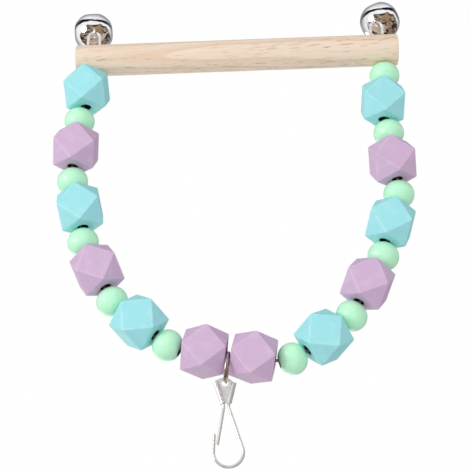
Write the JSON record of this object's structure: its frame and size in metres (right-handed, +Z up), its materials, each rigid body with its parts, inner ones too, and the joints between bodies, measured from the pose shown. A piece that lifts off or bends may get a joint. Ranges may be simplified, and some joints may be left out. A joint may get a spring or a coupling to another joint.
{
  "type": "bird swing",
  "caption": "Hanging bird swing: a round wooden perch under an arch of strung faceted and round painted beads, with jingle bells below and a spring clip on top.",
  "frame": {"origin": "where a cage bar bears, inside the crown of the spring clip", "axes": "+Z up along the clip towards its crown, +X along the perch to the right as seen from the front, +Y from front to back through the arch"},
  "size_m": [0.1435, 0.0253, 0.2009],
  "materials": {
    "perch_wood": "bare sanded",
    "teal_paint": "matte paint",
    "lilac_paint": "matte paint",
    "mint_paint": "satin lacquer",
    "frame_steel": "bright drawn wire",
    "ring_steel": "bright drawn wire",
    "clip_nickel": "nickel plate",
    "bell_chrome": "mirror plate",
    "pellet_steel": "plain"
  },
  "bodies": {
    "clip": {"clip_head_plate": "clip_nickel", "clip_hook_wire": "clip_nickel"},
    "clip_gate": {"clip_gate_wire": "clip_nickel"},
    "hanger_ring": {"hanger_ring": "ring_steel"},
    "swing_frame": {"perch": "perch_wood", "frame_wire": "frame_steel"},
    "right_bead_01": {"right_bead_01_faceted": "lilac_paint"},
    "right_bead_02": {"right_bead_02_round": "mint_paint"},
    "right_bead_03": {"right_bead_03_faceted": "teal_paint"},
    "right_bead_04": {"right_bead_04_round": "mint_paint"},
    "right_bead_05": {"right_bead_05_faceted": "lilac_paint"},
    "right_bead_06": {"right_bead_06_round": "mint_paint"},
    "right_bead_07": {"right_bead_07_faceted": "teal_paint"},
    "right_bead_08": {"right_bead_08_round": "mint_paint"},
    "right_bead_09": {"right_bead_09_faceted": "lilac_paint"},
    "right_bead_10": {"right_bead_10_round": "mint_paint"},
    "right_bead_11": {"right_bead_11_faceted": "teal_paint"},
    "left_bead_01": {"left_bead_01_faceted": "lilac_paint"},
    "left_bead_02": {"left_bead_02_round": "mint_paint"},
    "left_bead_03": {"left_bead_03_faceted": "teal_paint"},
    "left_bead_04": {"left_bead_04_round": "mint_paint"},
    "left_bead_05": {"left_bead_05_faceted": "lilac_paint"},
    "left_bead_06": {"left_bead_06_round": "mint_paint"},
    "left_bead_07": {"left_bead_07_faceted": "teal_paint"},
    "left_bead_08": {"left_bead_08_round": "mint_paint"},
    "left_bead_09": {"left_bead_09_faceted": "lilac_paint"},
    "left_bead_10": {"left_bead_10_round": "mint_paint"},
    "left_bead_11": {"left_bead_11_faceted": "teal_paint"},
    "left_bead_12": {"left_bead_12_round": "mint_paint"},
    "right_bell": {"right_bell_shell": "bell_chrome", "right_bell_staple": "bell_chrome"},
    "right_bell_pellet": {"right_bell_pellet": "pellet_steel"},
    "left_bell": {"left_bell_shell": "bell_chrome", "left_bell_staple": "bell_chrome"},
    "left_bell_pellet": {"left_bell_pellet": "pellet_steel"}
  },
  "joints": [
    {"name": "gate_press", "type": "hinge", "parent": "clip", "child": "clip_gate", "pos_m": [0.00111, 0, -0.02261], "axis": [0, -1, 0], "range_deg": [0, 16], "stiffness_Nm_per_rad": 0.15, "springref_deg": -2.86},
    {"name": "ring_sway", "type": "hinge", "parent": "clip", "child": "hanger_ring", "pos_m": [0.0001, 0, -0.03055], "axis": [0, 1, 0], "range_deg": [-12, 12]},
    {"name": "swing", "type": "hinge", "parent": "hanger_ring", "child": "swing_frame", "pos_m": [-0.00154, 0, -0.04041], "axis": [0.9848, 0, -0.1736], "range_deg": [-60, 60]},
    {"name": "right_bead_01_spin", "type": "hinge", "parent": "swing_frame", "child": "right_bead_01", "pos_m": [0.00702, -0.00076, -0.04282], "axis": [0.9848, 0, -0.1736], "continuous": true},
    {"name": "right_bead_02_spin", "type": "hinge", "parent": "swing_frame", "child": "right_bead_02", "pos_m": [0.0205, 0.00069, -0.0465], "axis": [0.8572, 0, -0.515], "continuous": true},
    {"name": "right_bead_03_spin", "type": "hinge", "parent": "swing_frame", "child": "right_bead_03", "pos_m": [0.03073, -0.00076, -0.05567], "axis": [0.7431, 0, -0.6691], "continuous": true},
    {"name": "right_bead_04_spin", "type": "hinge", "parent": "swing_frame", "child": "right_bead_04", "pos_m": [0.04071, 0.00069, -0.0652], "axis": [0.5592, 0, -0.829], "continuous": true},
    {"name": "right_bead_05_spin", "type": "hinge", "parent": "swing_frame", "child": "right_bead_05", "pos_m": [0.0462, -0.00076, -0.07776], "axis": [0.4067, 0, -0.9136], "continuous": true},
    {"name": "right_bead_06_spin", "type": "hinge", "parent": "swing_frame", "child": "right_bead_06", "pos_m": [0.05166, 0.00069, -0.09039], "axis": [0.2079, 0, -0.9781], "continuous": true},
    {"name": "right_bead_07_spin", "type": "hinge", "parent": "swing_frame", "child": "right_bead_07", "pos_m": [0.05273, -0.00076, -0.10392], "axis": [0.1392, 0, -0.9903], "continuous": true},
    {"name": "right_bead_08_spin", "type": "hinge", "parent": "swing_frame", "child": "right_bead_08", "pos_m": [0.05587, 0.00069, -0.11701], "axis": [0.1392, 0, -0.9903], "continuous": true},
    {"name": "right_bead_09_spin", "type": "hinge", "parent": "swing_frame", "child": "right_bead_09", "pos_m": [0.05447, -0.00076, -0.1308], "axis": [-0.1564, 0, -0.9877], "continuous": true},
    {"name": "right_bead_10_spin", "type": "hinge", "parent": "swing_frame", "child": "right_bead_10", "pos_m": [0.05329, 0.00069, -0.14429], "axis": [-0.2079, 0, -0.9781], "continuous": true},
    {"name": "right_bead_11_spin", "type": "hinge", "parent": "swing_frame", "child": "right_bead_11", "pos_m": [0.05022, -0.00076, -0.15771], "axis": [-0.0523, 0, -0.9986], "continuous": true},
    {"name": "left_bead_01_spin", "type": "hinge", "parent": "swing_frame", "child": "left_bead_01", "pos_m": [-0.01068, -0.00076, -0.03954], "axis": [-0.9781, 0, 0.2079], "continuous": true},
    {"name": "left_bead_02_spin", "type": "hinge", "parent": "swing_frame", "child": "left_bead_02", "pos_m": [-0.02487, 0.00069, -0.03878], "axis": [-0.9613, 0, -0.2756], "continuous": true},
    {"name": "left_bead_03_spin", "type": "hinge", "parent": "swing_frame", "child": "left_bead_03", "pos_m": [-0.03676, -0.00076, -0.04612], "axis": [-0.7986, 0, -0.6018], "continuous": true},
    {"name": "left_bead_04_spin", "type": "hinge", "parent": "swing_frame", "child": "left_bead_04", "pos_m": [-0.04771, 0.00069, -0.05441], "axis": [-0.6691, 0, -0.7431], "continuous": true},
    {"name": "left_bead_05_spin", "type": "hinge", "parent": "swing_frame", "child": "left_bead_05", "pos_m": [-0.05463, -0.00076, -0.06633], "axis": [-0.4848, 0, -0.8746], "continuous": true},
    {"name": "left_bead_06_spin", "type": "hinge", "parent": "swing_frame", "child": "left_bead_06", "pos_m": [-0.06173, 0.00069, -0.07795], "axis": [-0.3907, 0, -0.9205], "continuous": true},
    {"name": "left_bead_07_spin", "type": "hinge", "parent": "swing_frame", "child": "left_bead_07", "pos_m": [-0.06557, -0.00076, -0.0909], "axis": [-0.3584, 0, -0.9336], "continuous": true},
    {"name": "left_bead_08_spin", "type": "hinge", "parent": "swing_frame", "child": "left_bead_08", "pos_m": [-0.07025, 0.00069, -0.10386], "axis": [-0.1392, 0, -0.9903], "continuous": true},
    {"name": "left_bead_09_spin", "type": "hinge", "parent": "swing_frame", "child": "left_bead_09", "pos_m": [-0.06897, -0.00076, -0.11765], "axis": [0.1392, 0, -0.9903], "continuous": true},
    {"name": "left_bead_10_spin", "type": "hinge", "parent": "swing_frame", "child": "left_bead_10", "pos_m": [-0.06907, 0.00069, -0.13132], "axis": [0.0349, 0, -0.9994], "continuous": true},
    {"name": "left_bead_11_spin", "type": "hinge", "parent": "swing_frame", "child": "left_bead_11", "pos_m": [-0.0679, -0.00076, -0.1449], "axis": [-0.0523, 0, -0.9986], "continuous": true},
    {"name": "left_bead_12_spin", "type": "hinge", "parent": "swing_frame", "child": "left_bead_12", "pos_m": [-0.07001, 0.00069, -0.15823], "axis": [-0.0698, 0, -0.9976], "continuous": true},
    {"name": "right_bell_swing", "type": "hinge", "parent": "swing_frame", "child": "right_bell", "pos_m": [0.04723, 0, -0.186], "axis": [1, 0, 0], "range_deg": [-144, 36]},
    {"name": "right_pellet_roll", "type": "hinge", "parent": "right_bell", "child": "right_bell_pellet", "pos_m": [0.04855, 0.00761, -0.19153], "axis": [1, 0, 0], "range_deg": [-120, 120]},
    {"name": "left_bell_swing", "type": "hinge", "parent": "swing_frame", "child": "left_bell", "pos_m": [-0.069, 0, -0.18397], "axis": [1, 0, 0], "range_deg": [-144, 36]},
    {"name": "left_pellet_roll", "type": "hinge", "parent": "left_bell", "child": "left_bell_pellet", "pos_m": [-0.07162, 0.00739, -0.18934], "axis": [1, 0, 0], "range_deg": [-120, 120]}
  ]
}
